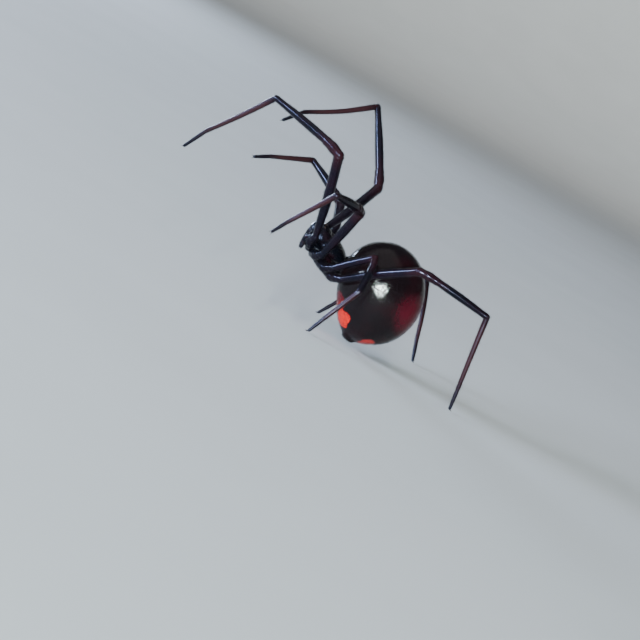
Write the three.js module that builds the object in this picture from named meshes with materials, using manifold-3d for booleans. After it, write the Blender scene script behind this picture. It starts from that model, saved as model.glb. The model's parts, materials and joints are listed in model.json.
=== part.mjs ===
// Black widow spider, adult female, life size: eight jointed legs, a low fore body and a round hind body.
// Millimetres and degrees. +Z is up, the spider faces -Y and its own left side is +X.
// It stands on its third and fourth pairs of legs, and its first and second pairs reach out in the air.
import * as THREE from 'three';
import { mergeVertices } from 'three/addons/utils/BufferGeometryUtils.js';
import Module from 'manifold-3d';

const manifold = await Module();
manifold.setup();

// Fore body, measured from its own middle: forward, out to the side, and up off its own back-to-front line
const FORE_PLACE = [0, -4.9, 5.16];
const FORE_PITCH = 22;
const FORE_ROLL = 6;
const SHIELD_FRONT = 1.66;
const SHIELD_BACK = 1.84;
const SHIELD_HALF_WIDTH = 1.5;
const SHIELD_WIDEST_AT = -0.35;
const HEAD_HALF_WIDTH = 0.82;
const SHIELD_HEIGHT = 0.77;
const HEAD_RISE = 0.14;
const GROOVE_AT = 0.1;
const GROOVE_DEPTH = 0.06;
const SHIELD_EDGE = -0.35;
const SHIELD_WIDE_ABOVE_EDGE = 0.3;

// Powers that set how blunt the shield's ends are and how square its cross-section is
const SHIELD_END_POWER = { along: 1.15, front: 0.55, back: 0.6 };
const SHIELD_SECTION_POWER = { back: 0.85, head: 0.7 };

const BREASTPLATE_FRONT = 0.62;
const BREASTPLATE_BACK = 1.42;
const BREASTPLATE_HALF_WIDTH = 0.72;
const BREASTPLATE_DROP = 1.26;
const BREASTPLATE_BEVEL = 0.14;

// The waist and the spinnerets, their ends and radii
const WAIST_FRONT = [-1.6, 0, 0];
const WAIST_BACK = [0, -1.15, -2.35];
const WAIST_RADII = [0.3, 0.36];
const SPINNERET_BASE = [0, 2.95, -1.5];
const SPINNERET_TIP = [0, 3.64, -2.25];
const SPINNERET_RADII = [0.6, 0.2];

// Hind body: its long axis stands steep, tail end down, and it is rolled a little to show its underside
const HIND_PLACE = [-0.2, 0.04, 4.2];
const HIND_LEAN = 24;
const HIND_ROLL = 25;
const HIND_FRONT_LENGTH = 3.34;
const HIND_TAIL_LENGTH = 3.83;
const HIND_HALF_WIDTH = 2.87;
const HIND_BACK_DEPTH = 3.03;
const HIND_BELLY_DEPTH = 3.19;
const HIND_SIDE_EGG = 0.16;
const HIND_FRONT_FULLNESS = 0.93;
const HIND_TAIL_FULLNESS = 0.8;
const HIND_TAIL_DROP = 0.69;

// Eyes in two rows of four, each by its distance out from the middle and its height on the face
const EYE_RADIUS = 0.085;
const EYE_SUNK = 0.35;
const EYES = {
  front_middle: { out: 0.13, up: 0.5 },
  front_side: { out: 0.42, up: 0.5 },
  rear_middle: { out: 0.17, up: 0.76 },
  rear_side: { out: 0.5, up: 0.7 },
};

// Lengths of the leg parts of each pair, first pair in front
const LEG_LENGTHS = [
  { femur: 6.5, patella: 1.45, tibia: 5.05, metatarsus: 6.3, tarsus: 2.1 },
  { femur: 4.55, patella: 1.15, tibia: 3.3, metatarsus: 4.0, tarsus: 1.5 },
  { femur: 3.2, patella: 0.95, tibia: 2.2, metatarsus: 2.95, tarsus: 1.3 },
  { femur: 6.4, patella: 1.4, tibia: 4.0, metatarsus: 5.4, tarsus: 1.5 },
];

// Their radii: the femur at its middle, the knee, and the tibia at its upper end
const LEG_RADII = [
  { femur: 0.35, knee: 0.38, shin: 0.35 },
  { femur: 0.34, knee: 0.38, shin: 0.36 },
  { femur: 0.29, knee: 0.29, shin: 0.26 },
  { femur: 0.32, knee: 0.33, shin: 0.29 },
];
const PATELLA_SWELLING = 0.02;
const THIGH_RADIUS = 0.27;
const ANKLE_RADIUS = 0.26;
const THIN_RADIUS = 0.252;

// Where each pair leaves the fore body, as forward, out and up: at the breastplate, at the ring, at the thigh
const LEG_ROOTS = [
  { inner: [0.48, 0.61, -1.0], ring: [0.8, 1.24, -0.52], thigh: [0.78, 1.5, -0.04] },
  { inner: [0.0, 0.72, -1.06], ring: [-0.3, 1.46, -0.8], thigh: [-0.42, 1.87, -0.3] },
  { inner: [-0.58, 0.72, -1.08], ring: [-1.3, 1.46, -0.88], thigh: [-1.6, 1.87, -0.34] },
  { inner: [-1.12, 0.52, -1.06], ring: [-2.1, 1.37, -0.9], thigh: [-2.55, 1.97, -0.36] },
];
const COXA_RADII = [0.345, 0.37, 0.32];
const COXA_SWELLING = 0.05;

// The jaw, the fang and the palp, as places from root to tip and the radius at each, and the lip between them
const JAW_LINE = [[1.3, 0.32, -0.1], [1.2, 0.31, -0.6], [1.02, 0.27, -1.2]];
const JAW_RADII = [0.27, 0.29, 0.2];
const FANG_LINE = [[1.02, 0.24, -1.34], [0.66, 0.07, -1.34]];
const FANG_RADII = [0.09, 0.03];
const PALP_LINE = [
  [0.8, 0.62, -0.95],
  [1.12, 1.0, -0.3],
  [1.16, 1.04, -0.6],
  [1.08, 0.97, -0.96],
  [0.9, 0.84, -1.36],
];
const PALP_RADII = [0.252, 0.252, 0.26, 0.27, 0.252];
const LIP_SIZE = [0.36, 0.26, 0.24];
const LIP_PLACE = [-0.82, -0.98];

// The pose of each leg, a bearing from straight ahead towards the spider's left and a rise above level
// A foot without a rise comes down to the floor
const POSES = {
  left: [
    { femur: [63, 64], shin: [-27.5, 7], metatarsus: [-40, -47], tarsus: [-44, -54] },
    { femur: [112, 60], shin: [64, 5], metatarsus: [-33, -54], tarsus: [-53, -49] },
    { femur: [155, 42], shin: [92, -49], foot: [-2] },
    { femur: [144, 33], shin: [184, -6], foot: [-134] },
  ],
  right: [
    { femur: [-112, 39.5], shin: [-44, 48], metatarsus: [41, -26], tarsus: [60, -31] },
    { femur: [-76, 34], shin: [-36, 19], metatarsus: [47, -15], tarsus: [49, -19] },
    { femur: [-125, 9], shin: [-108, -34], foot: [37] },
    { femur: [-124, 18.3], shin: [-110.5, -9], foot: [117] },
  ],
};
const PAIR_NAMES = ['1', '2', '3', '4'];
const FLOOR_LEVEL = -0.2;
const FOOT_HEIGHT = 0.2;

// How far the patella leans from the tibia's line towards the femur's
const PATELLA_LEAN = 0.15;

const GAP = 0.03;
const LEG_SIDES = 10;
const FACET_TOLERANCE = 0.011;

const MATERIALS = {
  shell: new THREE.MeshStandardMaterial({ color: 0x07070a, roughness: 0.2, metalness: 0 }),
  skin: new THREE.MeshStandardMaterial({ color: 0x0a0809, roughness: 0.25, metalness: 0 }),
  leg: new THREE.MeshStandardMaterial({ color: 0x08080c, roughness: 0.22, metalness: 0 }),
  foot: new THREE.MeshStandardMaterial({ color: 0x2a0d0b, roughness: 0.35, metalness: 0 }),
  eye: new THREE.MeshStandardMaterial({ color: 0x020203, roughness: 0.05, metalness: 0 }),
  fang: new THREE.MeshStandardMaterial({ color: 0x1c0805, roughness: 0.15, metalness: 0 }),
};

// Closed meshes as solids and back

function toSolid(geometry, matrix = new THREE.Matrix4()) {
  const bare = geometry.clone();
  bare.deleteAttribute('normal');
  bare.deleteAttribute('uv');
  bare.applyMatrix4(matrix);
  const merged = mergeVertices(bare, 1e-4);
  return new manifold.Manifold(new manifold.Mesh({
    numProp: 3,
    vertProperties: new Float32Array(merged.attributes.position.array),
    triVerts: new Uint32Array(merged.index.array),
  }));
}

function toGeometry(solid) {
  const mesh = solid.getMesh();
  const geometry = new THREE.BufferGeometry();
  geometry.setAttribute('position', new THREE.BufferAttribute(new Float32Array(mesh.vertProperties), 3));
  geometry.setIndex(Array.from(mesh.triVerts));
  geometry.computeVertexNormals();
  return geometry;
}

// A cut can leave a sliver beyond the piece that is meant: only the largest body stays
function largestBody(solid) {
  const bodies = solid.decompose();
  return bodies.reduce((best, body) => (body.volume() > best.volume() ? body : best));
}

// A solid in the frame of its group, as a mesh whose own origin and turn are those of the placement
function pieceOf(name, material, solid, placement = new THREE.Matrix4()) {
  const geometry = toGeometry(largestBody(solid).asOriginal().simplify(FACET_TOLERANCE));
  geometry.applyMatrix4(placement.clone().invert());
  const mesh = new THREE.Mesh(geometry, material);
  mesh.name = name;
  mesh.applyMatrix4(placement);
  return mesh;
}

// Shapes

// A unit ball whose poles are its two ends along Y, each point moved by a rule
function shapedBall(around, along, rule) {
  const geometry = new THREE.SphereGeometry(1, around, along);
  const place = geometry.attributes.position;
  const point = new THREE.Vector3();
  for (let i = 0; i < place.count; i += 1) {
    point.fromBufferAttribute(place, i);
    rule(point);
    place.setXYZ(i, point.x, point.y, point.z);
  }
  return geometry;
}

function ball(centre, radius, detail = 2) {
  const geometry = new THREE.IcosahedronGeometry(radius, detail);
  geometry.translate(...centre);
  return toSolid(geometry);
}

function turnTo(start, end) {
  const along = end.clone().sub(start).normalize();
  const turn = new THREE.Quaternion().setFromUnitVectors(new THREE.Vector3(0, 1, 0), along);
  return new THREE.Matrix4().compose(start, turn, new THREE.Vector3(1, 1, 1));
}

// A round limb part from one joint to the next, with half-ball ends and a swelling between them
function limb(start, end, startRadius, endRadius, swelling = 0, sides = LEG_SIDES) {
  const length = start.distanceTo(end);
  const profile = [new THREE.Vector2(0, -startRadius)];
  const capSteps = 3;
  for (let i = 1; i < capSteps; i += 1) {
    const angle = (i / capSteps) * Math.PI / 2;
    profile.push(new THREE.Vector2(startRadius * Math.sin(angle), -startRadius * Math.cos(angle)));
  }
  const bodySteps = swelling > 0 ? 4 : 1;
  for (let i = 0; i <= bodySteps; i += 1) {
    const share = i / bodySteps;
    const radius = THREE.MathUtils.lerp(startRadius, endRadius, share) + swelling * Math.sin(Math.PI * share);
    profile.push(new THREE.Vector2(radius, share * length));
  }
  for (let i = capSteps - 1; i >= 1; i -= 1) {
    const angle = (i / capSteps) * Math.PI / 2;
    profile.push(new THREE.Vector2(endRadius * Math.sin(angle), length + endRadius * Math.cos(angle)));
  }
  profile.push(new THREE.Vector2(0, length + endRadius));
  return toSolid(new THREE.LatheGeometry(profile, sides), turnTo(start, end));
}

// Keeps the side of a joint's middle plane that the part lies on, less half the gap
function keepBefore(solid, joint, before, after) {
  const normal = before.clone().add(after).normalize().negate();
  return solid.trimByPlane(normal.toArray(), normal.dot(joint) + GAP / 2);
}

function keepAfter(solid, joint, before, after) {
  const normal = before.clone().add(after).normalize();
  return solid.trimByPlane(normal.toArray(), normal.dot(joint) + GAP / 2);
}

// Fore body, in a group of its own that is pitched nose up: x is the spider's left, -y forward, z up

const foreFrame = new THREE.Matrix4()
  .makeTranslation(...FORE_PLACE)
  .multiply(new THREE.Matrix4().makeRotationX(THREE.MathUtils.degToRad(-FORE_PITCH)))
  .multiply(new THREE.Matrix4().makeRotationY(THREE.MathUtils.degToRad(FORE_ROLL)));

function forePoint([forward, out, up], side = 1) {
  return new THREE.Vector3(side * out, -forward, up);
}

function shieldHalfWidth(forward) {
  const toHead = THREE.MathUtils.smoothstep(forward, SHIELD_WIDEST_AT, 1.1);
  return THREE.MathUtils.lerp(SHIELD_HALF_WIDTH, HEAD_HALF_WIDTH, toHead);
}

function shieldHeight(forward) {
  const toHead = THREE.MathUtils.smoothstep(forward, GROOVE_AT, 1.0);
  const groove = Math.exp(-(((forward - GROOVE_AT) / 0.35) ** 2));
  return SHIELD_HEIGHT + HEAD_RISE * toHead - GROOVE_DEPTH * groove;
}

// The shield over the fore body: broad behind, narrower and higher at the head, blunt at both ends
function shield(growth = 0) {
  return shapedBall(24, 16, (point) => {
    const end = -point.y;
    const ring = Math.hypot(point.x, point.z);
    const angle = Math.atan2(point.z, point.x);
    const reach = end > 0 ? SHIELD_FRONT : SHIELD_BACK;
    const fullness = end > 0 ? SHIELD_END_POWER.front : SHIELD_END_POWER.back;
    const forward = Math.sign(end) * Math.pow(Math.abs(end), SHIELD_END_POWER.along) * (reach + growth);
    const swell = ring < 1e-6 ? 0 : Math.pow(ring, fullness);
    const toHead = THREE.MathUtils.smoothstep(forward, SHIELD_WIDEST_AT, 1);
    const square = THREE.MathUtils.lerp(SHIELD_SECTION_POWER.back, SHIELD_SECTION_POWER.head, toHead);
    const across = Math.sign(Math.cos(angle)) * Math.pow(Math.abs(Math.cos(angle)), square);
    const upward = Math.sign(Math.sin(angle)) * Math.pow(Math.abs(Math.sin(angle)), square);
    const middle = SHIELD_EDGE + SHIELD_WIDE_ABOVE_EDGE;
    const top = (shieldHeight(forward) - middle + growth) * swell;
    const bottom = (middle - SHIELD_EDGE + growth) * swell;
    point.set(
      across * (shieldHalfWidth(forward) + growth) * swell,
      -forward,
      middle + (upward > 0 ? top : bottom) * upward,
    );
  });
}

// The breastplate between the legs: a shield outline, pointed behind, as deep as the gap under the fore body
function breastplate(growth = 0) {
  const half = BREASTPLATE_HALF_WIDTH + growth;
  const front = BREASTPLATE_FRONT + growth;
  const back = BREASTPLATE_BACK + growth;
  const outline = new THREE.Shape();
  outline.moveTo(0.55 * half, -front);
  outline.bezierCurveTo(1.15 * half, -0.6 * front, 1.15 * half, 0.25 * back, 0.18 * half, back);
  outline.lineTo(-0.18 * half, back);
  outline.bezierCurveTo(-1.15 * half, 0.25 * back, -1.15 * half, -0.6 * front, -0.55 * half, -front);
  outline.closePath();
  const bevel = BREASTPLATE_BEVEL;
  const top = SHIELD_EDGE - GAP - bevel + growth;
  const depth = BREASTPLATE_DROP + SHIELD_EDGE - GAP - 2 * bevel + 2 * growth;
  const geometry = new THREE.ExtrudeGeometry(outline, {
    depth,
    steps: 1,
    curveSegments: 8,
    bevelEnabled: true,
    bevelThickness: bevel,
    bevelSize: bevel,
    bevelOffset: -bevel,
    bevelSegments: 2,
  });
  geometry.translate(0, 0, top - depth);
  return geometry;
}

// Where a line straight back through the face meets the shield, and a little way in
function onFace(shieldMesh, out, up) {
  const ray = new THREE.Raycaster(new THREE.Vector3(out, -2 * SHIELD_FRONT, up), new THREE.Vector3(0, 1, 0));
  const hit = ray.intersectObject(shieldMesh)[0];
  const inward = hit.face.normal.clone().negate();
  return hit.point.clone().addScaledVector(inward, EYE_SUNK * EYE_RADIUS);
}

// A chain of round parts through the places of a jaw or a palp, on one side of the fore body
function chain(places, radii, side, growth) {
  const line = places.map((place) => forePoint(place, side));
  const thick = radii.map((radius) => radius + growth);
  let whole = limb(line[0], line[1], thick[0], thick[1]);
  for (let i = 1; i + 1 < line.length; i += 1) {
    whole = whole.add(limb(line[i], line[i + 1], thick[i], thick[i + 1]));
  }
  return whole;
}

function jawShape(side, growth) {
  return chain(JAW_LINE, JAW_RADII, side, growth);
}

function palpShape(side, growth) {
  return chain(PALP_LINE, PALP_RADII, side, growth);
}

function buildFore(fore) {
  const eyes = [];
  const shieldMesh = new THREE.Mesh(shield(), MATERIALS.shell);
  for (const [side, sign] of [['left', 1], ['right', -1]]) {
    for (const [name, eye] of Object.entries(EYES)) {
      const centre = onFace(shieldMesh, sign * eye.out, eye.up).toArray();
      eyes.push({ name: `eye_${side}_${name}`, centre });
    }
  }
  let shieldSolid = toSolid(shield());
  for (const eye of eyes) {
    shieldSolid = shieldSolid.subtract(ball(eye.centre, EYE_RADIUS + GAP / 2, 1));
    fore.add(pieceOf(eye.name, MATERIALS.eye, ball([0, 0, 0], EYE_RADIUS, 1)));
    fore.children.at(-1).position.set(...eye.centre);
  }
  const shieldRoom = toSolid(shield(GAP));
  const plateRoom = toSolid(breastplate(GAP));

  // Jaws hang from the face, each with a short fang folded in at its tip, and a palp beside it
  const lip = shapedBall(16, 10, (point) => {
    point.set(
      point.x * LIP_SIZE[0],
      LIP_PLACE[0] + point.y * LIP_SIZE[1],
      LIP_PLACE[1] + point.z * LIP_SIZE[2],
    );
  });
  let mouth = toSolid(lip).subtract(plateRoom);
  for (const [side, sign] of [['left', 1], ['right', -1]]) {
    const jaw = jawShape(sign, 0).subtract(shieldRoom).trimByPlane([sign, 0, 0], GAP / 2);
    fore.add(pieceOf(`jaw_${side}`, MATERIALS.shell, jaw));
    const fangLine = FANG_LINE.map((place) => forePoint(place, sign));
    const fang = limb(...fangLine, ...FANG_RADII, 0, 8).subtract(jawShape(sign, GAP));
    fore.add(pieceOf(`fang_${side}`, MATERIALS.fang, fang));
    const palp = palpShape(sign, 0).subtract(shieldRoom).subtract(jawShape(sign, GAP)).subtract(plateRoom);
    fore.add(pieceOf(`palp_${side}`, MATERIALS.leg, palp));
    mouth = mouth.subtract(jawShape(sign, GAP)).subtract(palpShape(sign, GAP));
  }
  fore.add(pieceOf('mouth_plates', MATERIALS.shell, mouth));
  fore.add(pieceOf('breastplate', MATERIALS.shell, toSolid(breastplate())));
  fore.add(pieceOf('shield', MATERIALS.shell, shieldSolid));
}

// Hind body

// Its own frame: x to the spider's left, y towards the tail end and z towards the back
function hindFrame() {
  const lean = THREE.MathUtils.degToRad(HIND_LEAN);
  const left = new THREE.Vector3(1, 0, 0);
  const tail = new THREE.Vector3(0, Math.sin(lean), -Math.cos(lean));
  const back = new THREE.Vector3(0, Math.cos(lean), Math.sin(lean));
  const turn = new THREE.Matrix4().makeBasis(left, tail, back);
  const roll = new THREE.Matrix4().makeRotationY(THREE.MathUtils.degToRad(-HIND_ROLL));
  return new THREE.Matrix4().makeTranslation(...HIND_PLACE).multiply(turn).multiply(roll);
}

// The globe: blunt at both ends, a little narrower towards the belly, its tail end drawn towards the belly
function globe(growth = 0) {
  return shapedBall(30, 18, (point) => {
    const atTail = point.y > 0;
    const ring = Math.hypot(point.x, point.z);
    const fullness = atTail ? HIND_TAIL_FULLNESS : HIND_FRONT_FULLNESS;
    const swell = ring < 1e-6 ? 0 : Math.pow(ring, fullness - 1);
    const across = point.z * swell;
    const width = HIND_HALF_WIDTH * (1 + HIND_SIDE_EGG * across);
    const depth = across > 0 ? HIND_BACK_DEPTH : HIND_BELLY_DEPTH;
    const length = atTail ? HIND_TAIL_LENGTH : HIND_FRONT_LENGTH;
    const drop = atTail ? HIND_TAIL_DROP * point.y * point.y : 0;
    point.set(
      point.x * swell * (width + growth),
      point.y * (length + growth),
      across * (depth + growth) - drop,
    );
  });
}

const root = new THREE.Group();
const fore = new THREE.Group();
foreFrame.decompose(fore.position, fore.quaternion, fore.scale);
buildFore(fore);
root.add(fore);

const hind = hindFrame();
const globeSolid = toSolid(globe(), hind);
const globeRoom = toSolid(globe(GAP), hind);
root.add(pieceOf('abdomen', MATERIALS.skin, globeSolid, hind));

// Spinnerets, a short cone of two pairs at the tail end, on the belly side
const spinBase = new THREE.Vector3(...SPINNERET_BASE).applyMatrix4(hind);
const spinTip = new THREE.Vector3(...SPINNERET_TIP).applyMatrix4(hind);
const spinnerets = limb(spinBase, spinTip, ...SPINNERET_RADII).subtract(globeRoom);
root.add(pieceOf('spinnerets', MATERIALS.skin, spinnerets, turnTo(spinBase, spinTip)));

// The waist, a narrow stalk between the fore body and the hind body
const waistStart = forePoint(WAIST_FRONT).applyMatrix4(foreFrame);
const waistEnd = new THREE.Vector3(...WAIST_BACK).applyMatrix4(hind);
const shieldCut = toSolid(shield(GAP), foreFrame);
const plateCut = toSolid(breastplate(GAP), foreFrame);
const waist = limb(waistStart, waistEnd, ...WAIST_RADII).subtract(shieldCut).subtract(globeRoom);
root.add(pieceOf('waist', MATERIALS.skin, waist, turnTo(waistStart, waistEnd)));

// Legs

function heading([bearing, rise]) {
  const turn = THREE.MathUtils.degToRad(bearing);
  const lift = THREE.MathUtils.degToRad(rise);
  return new THREE.Vector3(
    Math.sin(turn) * Math.cos(lift),
    -Math.cos(turn) * Math.cos(lift),
    Math.sin(lift),
  );
}

function legJoints(sizes, roots, pose, side) {
  const step = (from, way, length) => from.clone().addScaledVector(heading(way), length);
  const joints = {};
  joints.inner = forePoint(roots.inner, side).applyMatrix4(foreFrame);
  joints.ring = forePoint(roots.ring, side).applyMatrix4(foreFrame);
  joints.thigh = forePoint(roots.thigh, side).applyMatrix4(foreFrame);
  joints.knee = step(joints.thigh, pose.femur, sizes.femur);
  const patellaWay = heading(pose.shin).lerp(heading(pose.femur), PATELLA_LEAN).normalize();
  joints.shin = joints.knee.clone().addScaledVector(patellaWay, sizes.patella);
  joints.ankle = step(joints.shin, pose.shin, sizes.tibia);
  let metatarsusWay = pose.metatarsus;
  let tarsusWay = pose.tarsus;
  if (pose.foot) {
    const drop = (joints.ankle.z - FLOOR_LEVEL - FOOT_HEIGHT) / (sizes.metatarsus + sizes.tarsus);
    metatarsusWay = [pose.foot[0], -THREE.MathUtils.radToDeg(Math.asin(drop))];
    tarsusWay = metatarsusWay;
  }
  joints.toe = step(joints.ankle, metatarsusWay, sizes.metatarsus);
  joints.tip = step(joints.toe, tarsusWay, sizes.tarsus);
  return joints;
}

// Flat walls between neighbouring leg roots on one side, so that no two of them run into each other
function keepFromNeighbour(solid, own, other) {
  const ownMiddle = own.inner.clone().add(own.ring).multiplyScalar(0.5);
  const otherMiddle = other.inner.clone().add(other.ring).multiplyScalar(0.5);
  const ownWay = own.ring.clone().sub(own.inner).normalize();
  const otherWay = other.ring.clone().sub(other.inner).normalize();
  const between = ownMiddle.clone().sub(otherMiddle);
  const way = ownWay.add(otherWay).normalize();
  const normal = between.addScaledVector(way, -between.dot(way)).normalize();
  const centre = ownMiddle.add(otherMiddle).multiplyScalar(0.5);
  return solid.trimByPlane(normal.toArray(), normal.dot(centre) + GAP / 2);
}

function buildLeg(side, sign, pair, allJoints) {
  const radii = LEG_RADII[pair];
  const pose = POSES[side][pair];
  const joints = allJoints[pair];
  const way = (from, to) => joints[to].clone().sub(joints[from]).normalize();
  const name = `${side}_${PAIR_NAMES[pair]}`;
  const pieces = [];
  const add = (label, material, solid, from, to) => {
    pieces.push(pieceOf(`leg_${name}_${label}`, material, solid, turnTo(joints[from], joints[to])));
  };

  let coxa = limb(joints.inner, joints.ring, COXA_RADII[0], COXA_RADII[1], COXA_SWELLING)
    .add(limb(joints.ring, joints.thigh, COXA_RADII[1], COXA_RADII[2]));
  const palpCut = palpShape(sign, GAP).transform(foreFrame.elements);
  coxa = coxa.subtract(shieldCut).subtract(plateCut).subtract(palpCut);
  for (const other of [pair - 1, pair + 1]) {
    if (allJoints[other]) {
      coxa = keepFromNeighbour(coxa, joints, allJoints[other]);
    }
  }
  coxa = keepBefore(coxa, joints.thigh, way('ring', 'thigh'), way('thigh', 'knee'));
  add('coxa', MATERIALS.leg, coxa, 'inner', 'ring');

  const swelling = radii.femur - (THIGH_RADIUS + radii.knee) / 2;
  let femur = limb(joints.thigh, joints.knee, THIGH_RADIUS, radii.knee, swelling);
  femur = keepAfter(femur, joints.thigh, way('ring', 'thigh'), way('thigh', 'knee'));
  femur = keepBefore(femur, joints.knee, way('thigh', 'knee'), way('knee', 'shin'));
  add('femur', MATERIALS.leg, femur, 'thigh', 'knee');

  let patella = limb(joints.knee, joints.shin, radii.knee, radii.shin, PATELLA_SWELLING);
  patella = keepAfter(patella, joints.knee, way('thigh', 'knee'), way('knee', 'shin'));
  patella = keepBefore(patella, joints.shin, way('knee', 'shin'), way('shin', 'ankle'));
  add('patella', MATERIALS.leg, patella, 'knee', 'shin');

  let tibia = limb(joints.shin, joints.ankle, radii.shin, ANKLE_RADIUS);
  tibia = keepAfter(tibia, joints.shin, way('knee', 'shin'), way('shin', 'ankle'));
  tibia = keepBefore(tibia, joints.ankle, way('shin', 'ankle'), way('ankle', 'toe'));
  add('tibia', MATERIALS.leg, tibia, 'shin', 'ankle');

  let foot = limb(joints.ankle, joints.toe, ANKLE_RADIUS, THIN_RADIUS);
  let toe = limb(joints.toe, joints.tip, THIN_RADIUS, THIN_RADIUS);
  if (pose.foot) {
    foot = limb(joints.ankle, joints.tip, ANKLE_RADIUS, THIN_RADIUS);
  } else {
    const bend = way('ankle', 'toe').add(way('toe', 'tip')).normalize();
    foot = foot.trimByPlane(bend.clone().negate().toArray(), -bend.dot(joints.toe) - GAP);
    toe = toe.trimByPlane(bend.toArray(), bend.dot(joints.toe) - GAP);
    foot = foot.add(toe);
  }
  foot = keepAfter(foot, joints.ankle, way('shin', 'ankle'), way('ankle', 'toe'));
  foot = foot.trimByPlane([0, 0, 1], FLOOR_LEVEL);
  add('foot', MATERIALS.foot, foot, 'ankle', 'toe');
  return pieces;
}

for (const [side, sign] of [['left', 1], ['right', -1]]) {
  const allJoints = LEG_LENGTHS.map((sizes, pair) => (
    legJoints(sizes, LEG_ROOTS[pair], POSES[side][pair], sign)
  ));
  for (let pair = 0; pair < LEG_LENGTHS.length; pair += 1) {
    root.add(...buildLeg(side, sign, pair, allJoints));
  }
}

// The origin is under the middle of the whole spider, on the floor that its feet stand on
root.updateMatrixWorld(true);
const box = new THREE.Box3().setFromObject(root, true);
root.position.set(-(box.min.x + box.max.x) / 2, -(box.min.y + box.max.y) / 2, -box.min.z);

export default root;
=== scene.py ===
import json
import math

import bpy
import numpy as np
from mathutils import Matrix, Vector

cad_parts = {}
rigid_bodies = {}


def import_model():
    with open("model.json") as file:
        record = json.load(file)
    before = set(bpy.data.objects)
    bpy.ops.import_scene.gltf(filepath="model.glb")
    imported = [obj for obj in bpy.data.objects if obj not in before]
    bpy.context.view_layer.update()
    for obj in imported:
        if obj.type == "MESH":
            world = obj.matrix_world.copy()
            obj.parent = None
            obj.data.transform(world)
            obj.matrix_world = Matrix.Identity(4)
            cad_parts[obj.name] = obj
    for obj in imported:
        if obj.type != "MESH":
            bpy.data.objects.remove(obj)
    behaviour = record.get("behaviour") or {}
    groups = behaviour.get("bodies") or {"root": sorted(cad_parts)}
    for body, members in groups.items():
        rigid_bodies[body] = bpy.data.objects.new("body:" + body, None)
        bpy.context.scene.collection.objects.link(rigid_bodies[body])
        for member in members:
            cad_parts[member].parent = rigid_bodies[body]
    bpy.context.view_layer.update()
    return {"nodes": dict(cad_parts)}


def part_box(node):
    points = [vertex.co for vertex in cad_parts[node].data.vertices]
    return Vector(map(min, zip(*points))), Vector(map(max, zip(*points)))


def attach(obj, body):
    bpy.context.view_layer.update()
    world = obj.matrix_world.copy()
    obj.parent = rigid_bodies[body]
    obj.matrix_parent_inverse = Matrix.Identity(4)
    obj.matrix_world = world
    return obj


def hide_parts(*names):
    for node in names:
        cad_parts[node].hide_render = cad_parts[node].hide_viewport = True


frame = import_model()

# The shield: one glossy black plate over the fore body, low and broad behind and raised at the head.
# In life it is thin hard shell, moulded in one, with a pit in the middle and grooves that run out to the
# legs. It is shaped on the solid of the shield, whose eye sockets are closed first.
MM = 0.001
# From the frame that the fore and hind body are placed in to the part's own, whose origin is on the floor
PART_SHIFT = Vector((2.0524611, 4.4544588, 0.2000002))
FORE_PLACE = Vector((0, -4.9, 5.16))
FORE_PITCH = math.radians(-22)
FORE_ROLL = math.radians(6)
FORE = (
    Matrix.Scale(MM, 4)
    @ Matrix.Translation(PART_SHIFT + FORE_PLACE)
    @ Matrix.Rotation(FORE_PITCH, 4, "X")
    @ Matrix.Rotation(FORE_ROLL, 4, "Y")
)
EYE_NAMES = [f"eye_{side}_{place}" for side in ("left", "right")
             for place in ("front_middle", "front_side", "rear_middle", "rear_side")]
EYE_PLACES = {name: sum(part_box(name), Vector()) / 2 for name in EYE_NAMES}
SOCKET_REACH = 0.135 * MM
# From the head to the tail: the radial grooves of one side, each with its width, depth and reach
SHIELD_GROOVES = [
    ([(0.12, -0.1, 0.72), (0.5, -0.6, 0.62), (0.86, -0.95, 0.25)], 0.06, 0.045, 0.2),
    ([(0.25, 0.1, 0.7), (0.95, -0.12, 0.5), (1.35, -0.2, 0.1)], 0.05, 0.03, 0.18),
    ([(0.25, 0.25, 0.66), (0.9, 0.5, 0.45), (1.3, 0.62, 0.1)], 0.05, 0.03, 0.18),
    ([(0.15, 0.4, 0.64), (0.5, 1.1, 0.4), (0.7, 1.45, 0.1)], 0.05, 0.03, 0.18),
]
SHIELD_PIT = [(0, -0.02, 0.7), (0, 0.22, 0.7)]
BLACK = (0.0012, 0.0013, 0.0024, 1)
MAROON = (0.005, 0.001, 0.0018, 1)
# The shell's unevenness: the size of the fine and the coarse grain, how much more the coarse one counts, and
# how deep it goes. Then the stretches of noise that bring the tint and the change in gloss, and that change.
FINE_GRAIN = 0.09 * MM
COARSE_GRAIN = 0.2 * MM
COARSE_SHARE = 3.0
GRAIN_DEPTH = 0.008 * MM
TINT_RANGE = (0.42, 0.7)
GLOSS_RANGE = (0.3, 0.7)
GLOSS_SPREAD = (0.7, 1.4)


def select_only(*pieces):
    bpy.ops.object.select_all(action="DESELECT")
    for piece in pieces:
        piece.select_set(True)
    bpy.context.view_layer.objects.active = pieces[-1]


def copy_of(piece):
    select_only(piece)
    bpy.ops.object.duplicate()
    return bpy.context.object


def joined(name, *parts):
    """Makes the parts one piece, which keeps the materials of the last."""
    select_only(*parts)
    bpy.ops.object.join()
    piece = bpy.context.object
    piece.name = piece.data.name = name
    return piece


def pick(piece, rule):
    """Opens the piece in edit mode with the points selected that the rule picks by their place."""
    select_only(piece)
    bpy.ops.object.mode_set(mode="EDIT")
    bpy.ops.mesh.select_mode(type="VERT")
    bpy.ops.mesh.select_all(action="DESELECT")
    bpy.ops.object.mode_set(mode="OBJECT")
    for point in piece.data.vertices:
        point.select = rule(point.co)
    bpy.ops.object.mode_set(mode="EDIT")


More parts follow.
